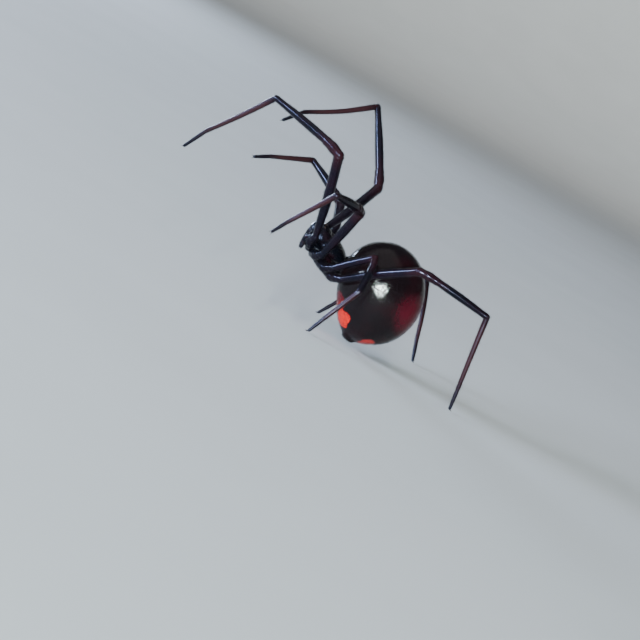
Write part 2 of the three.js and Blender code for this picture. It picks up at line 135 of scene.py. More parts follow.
def put_in_order(piece):
    """Sorts the faces by their points, because Blender makes them in another order each run."""
    mesh = piece.data
    unwrap = np.empty(len(mesh.loops) * 2)
    mesh.uv_layers[0].data.foreach_get("uv", unwrap)
    faces = []
    for face in mesh.polygons:
        corners = list(zip(face.vertices, face.loop_indices))
        first = corners.index(min(corners))
        faces.append(corners[first:] + corners[:first])
    faces.sort(key=lambda corners: [point for point, _ in corners])
    places = [tuple(point.co) for point in mesh.vertices]
    mesh.clear_geometry()
    mesh.from_pydata(places, [], [[point for point, _ in corners] for corners in faces])
    unwrap = unwrap.reshape(-1, 2)[[loop for corners in faces for _, loop in corners]]
    mesh.uv_layers.new(name="UVMap").data.foreach_set("uv", unwrap.ravel())


def apply_modifier(piece, kind, **settings):
    put_in_order(piece)
    select_only(piece)
    modifier = piece.modifiers.new(kind.title(), kind)
    for key, value in settings.items():
        setattr(modifier, key, value)
    bpy.ops.object.modifier_apply(modifier=modifier.name)


def place(piece, matrix):
    """Puts a piece that was modelled in millimetres where it belongs, with its place kept in its mesh."""
    piece.matrix_world = matrix
    select_only(piece)
    bpy.ops.object.transform_apply(location=True, rotation=True, scale=True)


def ball(name, size, centre, around, along):
    """A ball with its two poles along Y, as the start of a body that is shaped further."""
    bpy.ops.object.select_all(action="DESELECT")
    bpy.ops.mesh.primitive_uv_sphere_add(segments=around, ring_count=along, radius=1)
    piece = bpy.context.object
    piece.name = piece.data.name = name
    bpy.ops.object.mode_set(mode="EDIT")
    bpy.ops.transform.rotate(value=math.pi / 2, orient_axis="X", center_override=(0, 0, 0))
    bpy.ops.transform.resize(value=size, center_override=(0, 0, 0))
    bpy.ops.transform.translate(value=centre)
    bpy.ops.object.mode_set(mode="OBJECT")
    return piece


def wrap(piece, matrix, solid, smoothing):
    """Draws a ball on to a solid, then smooths away the solid's facets."""
    piece.matrix_world = matrix
    bpy.context.view_layer.update()
    apply_modifier(piece, "SHRINKWRAP", target=solid, wrap_method="NEAREST_SURFACEPOINT")
    bpy.ops.object.mode_set(mode="EDIT")
    bpy.ops.mesh.select_all(action="SELECT")
    bpy.ops.mesh.vertices_smooth(factor=0.5, repeat=smoothing)
    bpy.ops.object.mode_set(mode="OBJECT")
    piece.matrix_world = Matrix.Identity(4)


def press(piece, line, width, depth, reach):
    """Presses a groove, pit or, with a negative depth, a ridge into the piece along a line of places."""
    ends = [Vector(p) for p in line]

    def near(point):
        for a, b in zip(ends, ends[1:] or ends):
            run = b - a
            share = max(0, min(1, (point - a).dot(run) / max(run.length_squared, 1e-9)))
            if (point - a - share * run).length < width:
                return True
        return False

    pick(piece, near)
    bpy.ops.transform.shrink_fatten(
        value=-depth, use_proportional_edit=True, proportional_size=reach, proportional_edit_falloff="SMOOTH"
    )
    bpy.ops.object.mode_set(mode="OBJECT")


def finish_piece(piece, slot, material, *nodes):
    piece.data.materials.clear()
    for each in material if isinstance(material, list) else [material]:
        piece.data.materials.append(each)
    select_only(piece)
    bpy.ops.object.shade_smooth()
    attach(piece, "root")
    if nodes:
        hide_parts(*nodes)


def new_material(name):
    material = bpy.data.materials.new(name)
    material.use_nodes = True
    return material, material.node_tree.nodes["Principled BSDF"]


def feed(material, socket, value):
    """Links a socket to the socket that is its value, or else sets it to that value."""
    if isinstance(value, bpy.types.NodeSocket):
        material.node_tree.links.new(value, socket)
    else:
        socket.default_value = value


def node(material, kind, feeds=None, **settings):
    """One node of a material: its settings, and what feeds its sockets."""
    made = material.node_tree.nodes.new(kind)
    for key, value in settings.items():
        setattr(made, key, value)
    for key, value in (feeds or {}).items():
        feed(material, made.inputs[key], value)
    return made


def object_place(material):
    return node(material, "ShaderNodeTexCoord").outputs["Object"]


def noise(material, place_of, size, detail, roughness=0.5):
    """Cloudy noise with clouds of about the given size."""
    feeds = {"Vector": place_of, "Scale": 1 / size, "Detail": detail, "Roughness": roughness}
    return node(material, "ShaderNodeTexNoise", feeds).outputs["Fac"]


def ranged(material, value, source, target=(0.0, 1.0), kind="LINEAR"):
    """Turns the source range of a value into the target range, and holds it at the ends."""
    feeds = dict(zip(("From Min", "From Max", "To Min", "To Max"), (*source, *target)), Value=value)
    return node(material, "ShaderNodeMapRange", feeds, interpolation_type=kind).outputs["Result"]


def maths(material, operation, *terms, **settings):
    feeds = dict(enumerate(terms))
    return node(material, "ShaderNodeMath", feeds, operation=operation, **settings).outputs["Value"]


def mixed(material, share, ground, over, **settings):
    """Lays one colour over another by a share."""
    feeds = {0: share, 6: ground, 7: over}
    return node(material, "ShaderNodeMix", feeds, data_type="RGBA", **settings).outputs[2]


def tones(material, share, stops):
    """Colours by a share from 0 to 1: each stop has its share and its colour."""
    ramp = node(material, "ShaderNodeValToRGB", {"Fac": share})
    elements = ramp.color_ramp.elements
    while len(elements) < len(stops):
        elements.new(0.5)
    for element, (at, colour) in zip(elements, stops):
        element.position = at
        element.color = (*colour, 1)
    return ramp.outputs["Color"]


def cuticle(name, dark, tint, roughness, grain, tint_size=1.6):
    """Glossy shell: near black with a cloudy tint, uneven gloss and a fine grain."""
    material, shader = new_material(name)
    place_of = object_place(material)
    clouds = ranged(material, noise(material, place_of, tint_size * MM, 3), TINT_RANGE)
    colour = mixed(material, clouds, dark, tint)
    feed(material, shader.inputs["Base Color"], colour)
    fine = noise(material, place_of, FINE_GRAIN, 4, 0.65)
    gloss = ranged(material, fine, GLOSS_RANGE, [roughness * each for each in GLOSS_SPREAD])
    feed(material, shader.inputs["Roughness"], gloss)
    coarse = noise(material, place_of, COARSE_GRAIN, 2)
    height = maths(material, "MULTIPLY_ADD", coarse, COARSE_SHARE, fine)
    bump = node(material, "ShaderNodeBump", {"Height": height, "Strength": grain, "Distance": GRAIN_DEPTH})
    feed(material, shader.inputs["Normal"], bump.outputs["Normal"])
    shader.inputs["Specular IOR Level"].default_value = 0.2
    return material, shader, place_of, colour, gloss


# How a coat grows: the roots thrown for each one kept, their least spacing, how far a hair swings aside, how
# its lift and length vary, its outer half's lift, its thickness there, and half its patch on the unwrap
THROWN = 2.2
LEAST_SPACING = 0.72
SWING = 0.22
LIFTS = (0.75, 1.3)
REACHES = (0.7, 1.25)
TIP_LIFT = 0.45
MIDDLE_THICKNESS = 0.72
PATCH_HALF = 0.0015


def grow_hairs(name, skin, seed, spacing, length, radius, lie, lift, keep=None):
    """A coat of short hairs over a finished skin, as one mesh.

    Each hair is a thin three-sided spike, bent over along the lie.
    """
    draw = np.random.default_rng(seed)
    mesh = skin.data
    mesh.calc_loop_triangles()
    corners = np.empty(len(mesh.loop_triangles) * 3, np.int32)
    mesh.loop_triangles.foreach_get("vertices", corners)
    loops = np.empty_like(corners)
    mesh.loop_triangles.foreach_get("loops", loops)
    corners, loops = corners.reshape(-1, 3), loops.reshape(-1, 3)
    points = np.empty(len(mesh.vertices) * 3)
    mesh.vertices.foreach_get("co", points)
    normals = np.empty(len(mesh.vertices) * 3)
    mesh.vertex_normals.foreach_get("vector", normals)
    points, normals = points.reshape(-1, 3) / MM, normals.reshape(-1, 3)
    unwrap = np.empty(len(mesh.loops) * 2)
    mesh.uv_layers[0].data.foreach_get("uv", unwrap)
    unwrap = unwrap.reshape(-1, 2)

    # Roots, thrown over the skin by its area and thinned to an even spacing
    a, b, c = (points[corners[:, i]] for i in range(3))
    areas = np.linalg.norm(np.cross(b - a, c - a), axis=1) / 2
    thrown = int(areas.sum() / spacing ** 2 * THROWN)
    on = draw.choice(len(areas), thrown, p=areas / areas.sum())
    share = draw.random((thrown, 2))
    share = np.where(share.sum(1, keepdims=True) > 1, 1 - share, share)
    weights = np.column_stack([1 - share.sum(1), share])
    roots = (points[corners[on]] * weights[:, :, None]).sum(1)
    taken, cells = [], {}
    for i, root in enumerate(roots):
        cell = tuple((root // spacing).astype(int))
        around = [j for dx in (-1, 0, 1) for dy in (-1, 0, 1) for dz in (-1, 0, 1)
                  for j in cells.get((cell[0] + dx, cell[1] + dy, cell[2] + dz), ())]
        if all(((roots[j] - root) ** 2).sum() > (LEAST_SPACING * spacing) ** 2 for j in around):
            cells.setdefault(cell, []).append(i)
            taken.append(i)
    roots, on, weights = roots[taken], on[taken], weights[taken]
    up = (normals[corners[on]] * weights[:, :, None]).sum(1)
    up /= np.linalg.norm(up, axis=1, keepdims=True)
    marks = (unwrap[loops[on]] * weights[:, :, None]).sum(1)
    if keep is not None:
        kept = keep(roots, up)
        roots, up, marks = roots[kept], up[kept], marks[kept]

    # Each hair leaves the skin at the lift's angle, swings a little aside, and bends over towards its tip
    count = len(roots)
    way = lie(roots, up)
    way = way - (way * up).sum(1, keepdims=True) * up
    way /= np.maximum(np.linalg.norm(way, axis=1, keepdims=True), 1e-9)
    across = np.cross(up, way)
    swing = draw.normal(0, SWING, (count, 1))
    way = way * np.cos(swing) + across * np.sin(swing)
    across = np.cross(up, way)
    rise = np.radians(lift) * draw.uniform(*LIFTS, (count, 1))
    reach = length * draw.uniform(*REACHES, (count, 1))
    first = way * np.cos(rise) + up * np.sin(rise)
    second = way * np.cos(rise * TIP_LIFT) + up * np.sin(rise * TIP_LIFT)
    base = roots - up * radius
    middle = base + first * reach * 0.5
    tip = middle + second * reach * 0.5
    side = np.cross(across, first)
    rings = []
    for centre, thick in ((base, radius), (middle, radius * MIDDLE_THICKNESS)):
        for angle in (0, 2 * math.pi / 3, 4 * math.pi / 3):
            rings.append(centre + thick * (across * math.cos(angle) + side * math.sin(angle)))
    spikes = np.stack([*rings, tip], 1)
    faces = [(0, 2, 1), (0, 1, 4, 3), (1, 2, 5, 4), (2, 0, 3, 5), (3, 4, 6), (4, 5, 6), (5, 3, 6)]
    made = bpy.data.meshes.new(name)
    every = [tuple(7 * i + k for k in face) for i in range(count) for face in faces]
    made.from_pydata((spikes.reshape(-1, 3) * MM).tolist(), [], every)
    patch = np.array([(-1, -1), (0, -1), (1, -1), (-1, 0), (0, 0), (1, 0), (0, 1)]) * PATCH_HALF
    per_hair = np.array([k for face in faces for k in face])
    places = (marks[:, None, :] + patch[per_hair][None]).reshape(-1)
    made.uv_layers.new(name="OFBake").data.foreach_set("uv", places)
    coat = bpy.data.objects.new(name, made)
    bpy.context.scene.collection.objects.link(coat)
    return coat


# A copy of the solid, with its sockets filled, is what the shield is drawn on to
form = copy_of(frame["nodes"]["shield"])
bpy.ops.object.mode_set(mode="EDIT")
bpy.ops.mesh.select_all(action="SELECT")
bpy.ops.mesh.remove_doubles(threshold=1e-7)
bpy.ops.object.mode_set(mode="OBJECT")
pick(form, lambda point: any((point - eye).length < SOCKET_REACH for eye in EYE_PLACES.values()))
bpy.ops.mesh.delete(type="VERT")
bpy.ops.mesh.select_all(action="SELECT")
bpy.ops.mesh.region_to_loop()
bpy.ops.mesh.fill()
bpy.ops.object.mode_set(mode="OBJECT")
shield = ball("shield_plate", size=(1.5, 1.75, 0.7), centre=(0, 0.09, 0.1), around=32, along=20)
wrap(shield, FORE, form, smoothing=1)
bpy.data.objects.remove(form)
apply_modifier(shield, "SUBSURF", levels=2, render_levels=2)
press(shield, SHIELD_PIT, width=0.1, depth=0.07, reach=0.3)
for side in (1, -1):
    for line, width, depth, reach in SHIELD_GROOVES:
        press(shield, [(side * x, y, z) for x, y, z in line], width, depth, reach)
for eye in EYE_PLACES.values():
    press(shield, [FORE.inverted() @ eye], width=0.1, depth=-0.035, reach=0.2)
apply_modifier(shield, "SUBSURF", levels=1, render_levels=1)
place(shield, FORE)
shell_black, shell_shader, *_ = cuticle("shell_black", BLACK, MAROON, roughness=0.25, grain=0.6)
shell_shader.inputs["Specular IOR Level"].default_value = 0.1
shell_shader.inputs["Specular Tint"].default_value = (0.72, 0.78, 1, 1)
finish_piece(shield, "shell", shell_black, "shield")

fore_turn = np.array(FORE.to_3x3().normalized())
hair_black, hair_shader = new_material("hair_black")
hair_clouds = noise(hair_black, object_place(hair_black), 0.3 * MM, 2)
hair_tones = tones(hair_black, hair_clouds, [(0.35, (0.003, 0.0026, 0.004)), (0.7, (0.015, 0.012, 0.017))])
feed(hair_black, hair_shader.inputs["Base Color"], hair_tones)
hair_shader.inputs["Roughness"].default_value = 0.38
hair_shader.inputs["Specular IOR Level"].default_value = 0.1


def lying(way):
    """The lie of a coat whose hairs all point one way."""
    return lambda roots, up: np.tile(way, (len(roots), 1))


def above_rim(roots, up):
    return up @ fore_turn[:, 2] > 0.05


shield_way = fore_turn @ (0, -1, 0.1)
shield_hairs = grow_hairs("shield_hairs", shield, seed=11, spacing=0.17, length=0.16, radius=0.006,
                          lie=lying(shield_way), lift=30, keep=above_rim)
finish_piece(shield_hairs, "shell", hair_black)

# The eyes: eight small glossy domes, nearly black, in two rows across the face.
# Each is a clear lens of hard shell in a low black rim, grown into the shield. One is modelled and copied.
LENS_RADIUS = 0.082
LENS_SUNK = 0.012
# The rise and the widening of the rim at each step, from the lens outwards
RIM_STEPS = [(0.006, 1.16), (-0.03, 1.14), (-0.04, 1.0)]
eye_lens, lens_shader = new_material("eye_lens")
# The lens's colour is a painted inner reflection: brown where it faces the viewer, black towards its edge as
# seen
lens_reflection_facing = node(eye_lens, "ShaderNodeLayerWeight", {"Blend": 0.35}).outputs["Facing"]
lens_painted_reflection = tones(eye_lens, lens_reflection_facing, [(0.0, (0.012, 0.006, 0.004)), (1.0, (0.003, 0.003, 0.004))])
feed(eye_lens, lens_shader.inputs["Base Color"], lens_painted_reflection)
lens_shader.inputs["Roughness"].default_value = 0.04
lens_shader.inputs["Coat Weight"].default_value = 1.0
lens_shader.inputs["Coat Roughness"].default_value = 0.02

bpy.ops.object.select_all(action="DESELECT")
bpy.ops.mesh.primitive_uv_sphere_add(segments=16, ring_count=10, radius=LENS_RADIUS)
eye_model = bpy.context.object
bpy.ops.object.mode_set(mode="EDIT")
bpy.ops.mesh.bisect(plane_co=(0, 0, -0.01), plane_no=(0, 0, 1), clear_inner=True)
bpy.ops.mesh.select_all(action="SELECT")
bpy.ops.mesh.region_to_loop()
for rise, wider in RIM_STEPS:
    bpy.ops.mesh.extrude_edges_move(TRANSFORM_OT_translate={"value": (0, 0, rise)})
    bpy.ops.transform.resize(value=(wider, wider, 1))
bpy.ops.mesh.edge_face_add()
bpy.ops.mesh.select_all(action="SELECT")
bpy.ops.mesh.normals_make_consistent(inside=False)
bpy.ops.object.mode_set(mode="OBJECT")
apply_modifier(eye_model, "SUBSURF", levels=1, render_levels=1)
for name, centre in EYE_PLACES.items():
    eye = copy_of(eye_model)
    eye.name = eye.data.name = name.replace("eye_", "lens_")
    _, foot, out, _ = shield.closest_point_on_mesh(centre)
    turn = out.to_track_quat("Z", "Y").to_matrix().to_4x4()
    place(eye, Matrix.Translation(foot - LENS_SUNK * MM * out) @ turn @ Matrix.Scale(MM, 4))
    finish_piece(eye, "eye", [eye_lens, shell_black], name)
    # The rim, which is past the lens or below its foot, takes the second material
    for face in eye.data.polygons:
        around = face.center - foot
        flat = (around - around.dot(out) * out).length
        face.material_index = int(flat > LENS_RADIUS * MM * 1.01 or around.dot(out) < -0.02 * MM)
bpy.data.objects.remove(eye_model)

# The jaws: two short stout upright rods of black shell, side by side under the face, each with a curved fang
# folded in at its tip. The fang is a solid brown-black spike on a soft ring.
JAW_RINGS = [
    (-0.16, 0.12), (-0.1, 0.2), (0, 0.245), (0.12, 0.265), (0.4, 0.268), (0.62, 0.262),
    (0.86, 0.235), (1.0, 0.21), (1.1, 0.185), (1.16, 0.135), (1.19, 0.06),
]
FANG_RINGS = [
    (-0.05, 0.06, 0.0), (0, 0.078, 0.0), (0.07, 0.07, 0.006), (0.16, 0.055, 0.03),
    (0.25, 0.038, 0.075), (0.33, 0.02, 0.135), (0.38, 0.006, 0.19),
]


def ringed_part(name, rings, sides, lean=1.0):
    """A closed round part along +Z. Each ring has its height, its radius and its shift along x."""
    bpy.ops.object.select_all(action="DESELECT")
    full = [(ring + (0.0,))[:3] for ring in rings]
    height, radius, shift = full[0]
    bpy.ops.mesh.primitive_circle_add(
        vertices=sides, radius=radius, fill_type="NGON", location=(shift, 0, height)
    )
    part = bpy.context.object
    part.name = part.data.name = name
    bpy.ops.object.mode_set(mode="EDIT")
    for (low, thick, aside), (high, next_thick, next_aside) in zip(full, full[1:]):
        bpy.ops.mesh.extrude_region_move(
            TRANSFORM_OT_translate={"value": (next_aside - aside, 0, high - low)}
        )
        bpy.ops.transform.resize(value=(next_thick / thick, next_thick / thick, 1))
    bpy.ops.mesh.select_all(action="SELECT")
    bpy.ops.transform.resize(value=(1, lean, 1), center_override=(0, 0, 0))
    bpy.ops.object.mode_set(mode="OBJECT")
    bpy.ops.object.transform_apply(location=True, rotation=True, scale=True)
    apply_modifier(part, "SUBSURF", levels=1, render_levels=1)
    return part


def unwrap_round(part, low, high, first, last):
    """The part's unwrap: once round it is one width, and its length goes from first to last."""
    layer = part.data.uv_layers[0]
    for face in part.data.polygons:
        middle = math.atan2(face.center.y, face.center.x)
        for corner in face.loop_indices:
            spot = part.data.vertices[part.data.loops[corner].vertex_index].co
            turn = math.atan2(spot.y, spot.x) - middle
            turn = (turn + math.pi) % (2 * math.pi) - math.pi
            share = (spot.z - low) / (high - low)
            layer.data[corner].uv = ((middle + turn) / (2 * math.pi) + 0.5, first + (last - first) * share)


def along(start, end, upper):
    """The frame of a part from start to end, in millimetres, with its x side turned upwards."""
    z = (end - start).normalized()
    x = (upper - z * upper.dot(z)).normalized()
    return Matrix.Translation(start) @ Matrix((x, z.cross(x), z)).transposed().to_4x4()


def in_fore(forward, out, up):
    return Vector((out, -forward, up))


FANG_BROWN = (0.02, 0.006, 0.003, 1)
FANG_TINT = (0.05, 0.012, 0.005, 1)
fang_brown, *_ = cuticle("fang_brown", FANG_BROWN, FANG_TINT, roughness=0.12, grain=0.1, tint_size=0.3)
for side, sign in (("left", 1), ("right", -1)):
    root, tip = in_fore(1.28, sign * 0.3, -0.12), in_fore(1.03, sign * 0.27, -1.2)
    jaw = ringed_part(f"jaw_rod_{side}", JAW_RINGS, 16, 0.94)
    unwrap_round(jaw, JAW_RINGS[0][0], JAW_RINGS[-1][0], 0.02, 0.98)
    # A low swelling on the front, near the root
    press(jaw, [(0.2, 0, 0.12), (0.24, 0, 0.3)], width=0.09, depth=-0.03, reach=0.2)
    place(jaw, FORE @ along(root, tip, Vector((0, -1, 0))))
    finish_piece(jaw, "shell", shell_black, f"jaw_{side}")
    fang = ringed_part(f"fang_spike_{side}", FANG_RINGS, 10)
    fang_root, fang_tip = in_fore(1.03, sign * 0.25, -1.3), in_fore(0.7, sign * 0.09, -1.33)
    place(fang, FORE @ along(fang_root, fang_tip, Vector((0, 0, 1))))
    finish_piece(fang, "fang", fang_brown, f"fang_{side}")
    jaw_way = np.array(FORE.to_3x3().normalized() @ (tip - root).normalized())
    jaw_hairs = grow_hairs(f"jaw_hairs_{side}", jaw, seed=21 + sign, spacing=0.12, length=0.15, radius=0.006,
                           lie=lying(jaw_way), lift=38)
    finish_piece(jaw_hairs, "shell", hair_black)

# The mouth plates: a small rounded lip between the jaws and the breastplate, with a lobe on each side of it.
# They are thin black shell, joined to the soft mouth behind them.
LIP_RINGS = [(-0.22, 0.12), (-0.16, 0.2), (0, 0.24), (0.14, 0.22), (0.22, 0.15), (0.25, 0.06)]
LOBE_RINGS = [
    (-0.3, 0.08), (-0.22, 0.14), (0, 0.17), (0.2, 0.15, 0.02), (0.32, 0.1, 0.05), (0.36, 0.04, 0.07),
]
lip = ringed_part("mouth_lip", LIP_RINGS, 14, 1.25)
place(lip, FORE @ along(in_fore(0.7, 0, -1.02), in_fore(1.0, 0, -0.98), Vector((0, 0, -1))))
lobes = []
for sign in (1, -1):
    lobe = ringed_part("mouth_lobe", LOBE_RINGS, 12, 0.8)
    lobe_root, lobe_tip = in_fore(0.66, sign * 0.36, -0.98), in_fore(1.0, sign * 0.16, -1.02)
    place(lobe, FORE @ along(lobe_root, lobe_tip, Vector((-sign, 0, 0))))
    lobes.append(lobe)
lip = joined("mouth_lip", *lobes, lip)
finish_piece(lip, "shell", shell_black, "mouth_plates")

# The breastplate: a heart-shaped black shell plate under the fore body, between the roots of the legs.
# It is gently crowned, carries short hairs, and is joined to the legs' roots by soft skin.
breastplate = ball("breastplate_shell", size=(0.8, 1.1, 0.42), centre=(0, 0.4, -0.8), around=28, along=18)
wrap(breastplate, FORE, frame["nodes"]["breastplate"], smoothing=2)
apply_modifier(breastplate, "SUBSURF", levels=1, render_levels=1)
press(breastplate, [(0, 0.3, -1.26)], width=0.3, depth=-0.05, reach=0.6)
apply_modifier(breastplate, "SUBSURF", levels=1, render_levels=1)
place(breastplate, FORE)
finish_piece(breastplate, "shell", shell_black, "breastplate")
plate_way = fore_turn @ (0, 1, 0)
plate_hairs = grow_hairs("breastplate_hairs", breastplate, seed=31, spacing=0.15, length=0.17, radius=0.006,
                         lie=lying(plate_way), lift=40, keep=lambda roots, up: up @ fore_turn[:, 2] < -0.2)
finish_piece(plate_hairs, "shell", hair_black)

# The hind body and waist: one soft, stretched, glossy skin over a globe, drawn in to a thin stalk in front
# and a low mound for the spinnerets at the tail. It is black with a red hourglass below and a red band at the
# tail end, with a maroon sheen painted along the back, and closely covered with very short dark hairs.
HIND_PLACE = Vector((-0.2, 0.04, 4.2))
HIND_LEAN = math.radians(24)
HIND_ROLL = math.radians(-25)
HIND = (
    Matrix.Scale(MM, 4)
    @ Matrix.Translation(PART_SHIFT + HIND_PLACE)
    @ Matrix((
        (1, 0, 0),
        (0, math.sin(HIND_LEAN), math.cos(HIND_LEAN)),
        (0, -math.cos(HIND_LEAN), math.sin(HIND_LEAN)),
    )).to_4x4()
    @ Matrix.Rotation(HIND_ROLL, 4, "Y")
)
# How far the waist's skin is drawn out at each step, as a share of its length, and how much it widens
STALK_STEPS = [(0.12, 0.62), (0.2, 0.8), (0.3, 0.95), (0.3, 1.05)]
# How far the tail's mound is drawn out at each step, and how much it widens
MOUND_STEPS = [(0.12, 0.86), (0.14, 0.85)]
BELLY_FURROW = [
    (-1.5, -0.75, -2.4), (-0.7, -0.55, -3.0), (0, -0.5, -3.15), (0.7, -0.55, -3.0), (1.5, -0.75, -2.4),
]
TAIL_MOUND = Vector((0, 3.1, -1.75))
MOUND_WAY = Vector((0, 0.69, -0.75)).normalized()
MARK_PLACE = (0.18, 1.5, 0)
MARK_TURN = math.radians(-15)
# Half the red mark's width, from its front end to its tail end, as shares of its length and of 1 mm
MARK_LENGTH = (-1.3, 1.25)
MARK_WIDTHS = [
    (0.0, 0.3), (0.12, 0.6), (0.28, 0.74), (0.42, 0.62), (0.52, 0.4),
    (0.6, 0.62), (0.7, 0.86), (0.8, 0.8), (0.92, 0.42), (1.0, 0.06),
]
MARK_BELOW = -1.2
# Where the hourglass fades at its edge, in millimetres inwards, how ragged every mark's edge is, and the dark
# specks of the front lobe
MARK_EDGE = (-0.04, 0.09)
RAG_SIZE = 0.18 * MM
RAG_DEPTH = 0.5
SPECK_SIZE = 0.15 * MM
SPECK_RANGE = (0.47, 0.68)
SPECK_STRENGTH = 0.7
BAND_PLACE = (0.45, 3.5, -1.05)
BAND_SIZE = (1.3, 0.42, 0.62)
BAND_INNER = 0.75
MARK_RED = (0.3, 0.008, 0.005, 1)
MARK_DEEP = (0.035, 0.002, 0.004, 1)
BAND_RED = (0.16, 0.01, 0.01, 1)
# A maroon sheen painted over the back and flanks: its middle, its size and where it is full, then its colour
PAINTED_SHEEN_PLACE = (0, 1.25, 1.2)
PAINTED_SHEEN_SIZE = (4.2, 2.1, 1.9)
PAINTED_SHEEN_INNER = 0.55
PATCH_OUTER = 1.05
PAINTED_SHEEN_MAROON = (0.032, 0.0012, 0.0045, 1)
HIND_BLACK = (0.0024, 0.0013, 0.0018, 1)
HIND_TINT = (0.007, 0.0011, 0.002, 1)

hind = ball("hind_body_skin", size=(2.8, 3.4, 3.0), centre=(0, 0.2, -0.1), around=40, along=26)
wrap(hind, HIND, frame["nodes"]["abdomen"], smoothing=1)
waist_end = HIND.inverted() @ (FORE @ in_fore(-1.55, 0, 0))
waist_start = Vector((0, -1.15, -2.35))
_, waist_exit, _, _ = hind.ray_cast(waist_start, (waist_end - waist_start).normalized())


def nearest_to(piece, spot):
    best = min(piece.data.vertices, key=lambda point: (point.co - spot).length).co.copy()
    return lambda point: (point - best).length < 1e-5


pick(hind, nearest_to(hind, waist_exit))
bpy.ops.mesh.select_more()
bpy.ops.transform.resize(value=(0.9, 0.9, 0.9))
stalk = waist_end - waist_exit
for share, size in STALK_STEPS:
    bpy.ops.mesh.extrude_region_move(TRANSFORM_OT_translate={"value": stalk * share})
    bpy.ops.transform.resize(value=(size, size, size))
bpy.ops.object.mode_set(mode="OBJECT")
pick(hind, nearest_to(hind, TAIL_MOUND))
bpy.ops.mesh.select_more()
bpy.ops.transform.resize(value=(1.1, 1.1, 1.1))
for reach, size in MOUND_STEPS:
    bpy.ops.mesh.extrude_region_move(TRANSFORM_OT_translate={"value": MOUND_WAY * reach})
    bpy.ops.transform.resize(value=(size, size, size))
bpy.ops.object.mode_set(mode="OBJECT")
apply_modifier(hind, "SUBSURF", levels=2, render_levels=2)
# On each side two dimples on the back and the swelling of a book lung below, then the furrow across the belly
# and the mound in front of it
for side in (1, -1):
    for along_back in (-0.9, 0.5):
        press(hind, [(side * 0.7, along_back, 2.95)], width=0.1, depth=0.05, reach=0.4)
    press(hind, [(side * 0.95, -1.5, -2.4), (side * 1.3, -1.2, -2.3)], width=0.25, depth=-0.05, reach=0.7)
press(hind, BELLY_FURROW, width=0.1, depth=0.06, reach=0.28)
press(hind, [(0, -0.85, -3.05)], width=0.2, depth=-0.12, reach=0.4)
place(hind, HIND)


def in_frame(material, place_of, matrix, size):
    """A place as seen from a frame, in units of the given size along each of its axes."""
    feeds = {"Vector": place_of, "Location": matrix.to_translation(), "Scale": size}
    feeds["Rotation"] = matrix.to_euler()
    return node(material, "ShaderNodeMapping", feeds, vector_type="TEXTURE").outputs["Vector"]


def red_marks(material, place_of):
    """How far a place lies in the hourglass, its front lobe, the tail band, and the maroon sheen painted on
    the back.
    """
    turned = HIND @ Matrix.Translation(MARK_PLACE) @ Matrix.Rotation(MARK_TURN, 4, "Z")
    inside = in_frame(material, place_of, turned, (MM, MM, MM))
    parts = node(material, "ShaderNodeSeparateXYZ", {"Vector": inside}).outputs
    shares = ranged(material, parts["Y"], MARK_LENGTH)
    widths = tones(material, shares, [(at, (wide, wide, wide)) for at, wide in MARK_WIDTHS])
    rough = noise(material, place_of, RAG_SIZE, 4)
    uneven = maths(material, "MULTIPLY_ADD", rough, RAG_DEPTH, -RAG_DEPTH / 2)
    margin = maths(material, "SUBTRACT", widths, maths(material, "ABSOLUTE", parts["X"]))
    soft = ranged(material, maths(material, "ADD", margin, uneven), MARK_EDGE, kind="SMOOTHSTEP")
    below = maths(material, "LESS_THAN", parts["Z"], MARK_BELOW)
    in_length = maths(material, "COMPARE", shares, 0.5, 0.499)
    glass = maths(material, "MULTIPLY", maths(material, "MULTIPLY", soft, below), in_length)
    ahead = ranged(material, shares, (0.5, 0.22))
    specks = ranged(material, noise(material, place_of, SPECK_SIZE, 3), SPECK_RANGE, (0.0, SPECK_STRENGTH))
    front = maths(material, "ADD", ahead, specks, use_clamp=True)
    patches = []
    for middle, size, inner in ((BAND_PLACE, BAND_SIZE, BAND_INNER), (PAINTED_SHEEN_PLACE, PAINTED_SHEEN_SIZE, PAINTED_SHEEN_INNER)):
        near = in_frame(material, place_of, HIND @ Matrix.Translation(middle), [MM * each for each in size])
        reach = node(material, "ShaderNodeVectorMath", {0: near}, operation="LENGTH").outputs["Value"]
        ragged = maths(material, "ADD", reach, uneven)
        patches.append(ranged(material, ragged, (PATCH_OUTER, inner), kind="SMOOTHSTEP"))
    return glass, front, *patches


def paint_marks(material, shader, place_of, ground):
    """Lays the maroon sheen painted on the back, the hourglass and the tail band over a material's ground
    colour.
    """
    glass, front, band, maroon_sheen = red_marks(material, place_of)
    # The maroon laid over the back is a painted sheen
    with_sheen = mixed(material, maroon_sheen, ground, PAINTED_SHEEN_MAROON)
    with_glass = mixed(material, glass, with_sheen, mixed(material, front, MARK_RED, MARK_DEEP))
    feed(material, shader.inputs["Base Color"], mixed(material, band, with_glass, BAND_RED))


hind_skin, skin_shader, skin_place, skin_colour, _ = cuticle(
    "hind_skin", HIND_BLACK, HIND_TINT, roughness=0.03, grain=0.85, tint_size=2.6
)
paint_marks(hind_skin, skin_shader, skin_place, skin_colour)
finish_piece(hind, "skin", hind_skin, "abdomen", "waist")

hind_hair = hair_black.copy()
hind_hair.name = "hind_hair"
hind_nodes = hind_hair.node_tree.nodes
hind_hair_place = next(n for n in hind_nodes if n.type == "TEX_COORD").outputs["Object"]
hind_hair_tones = next(n for n in hind_nodes if n.type == "VALTORGB").outputs["Color"]
paint_marks(hind_hair, hind_nodes["Principled BSDF"], hind_hair_place, hind_hair_tones)
hind_way = np.array(HIND.to_3x3().normalized()) @ (0, 1, 0)
hind_hairs = grow_hairs("hind_body_hairs", hind, seed=41, spacing=0.1, length=0.15, radius=0.0055,
                        lie=lying(hind_way), lift=30)
finish_piece(hind_hairs, "skin", hind_hair)

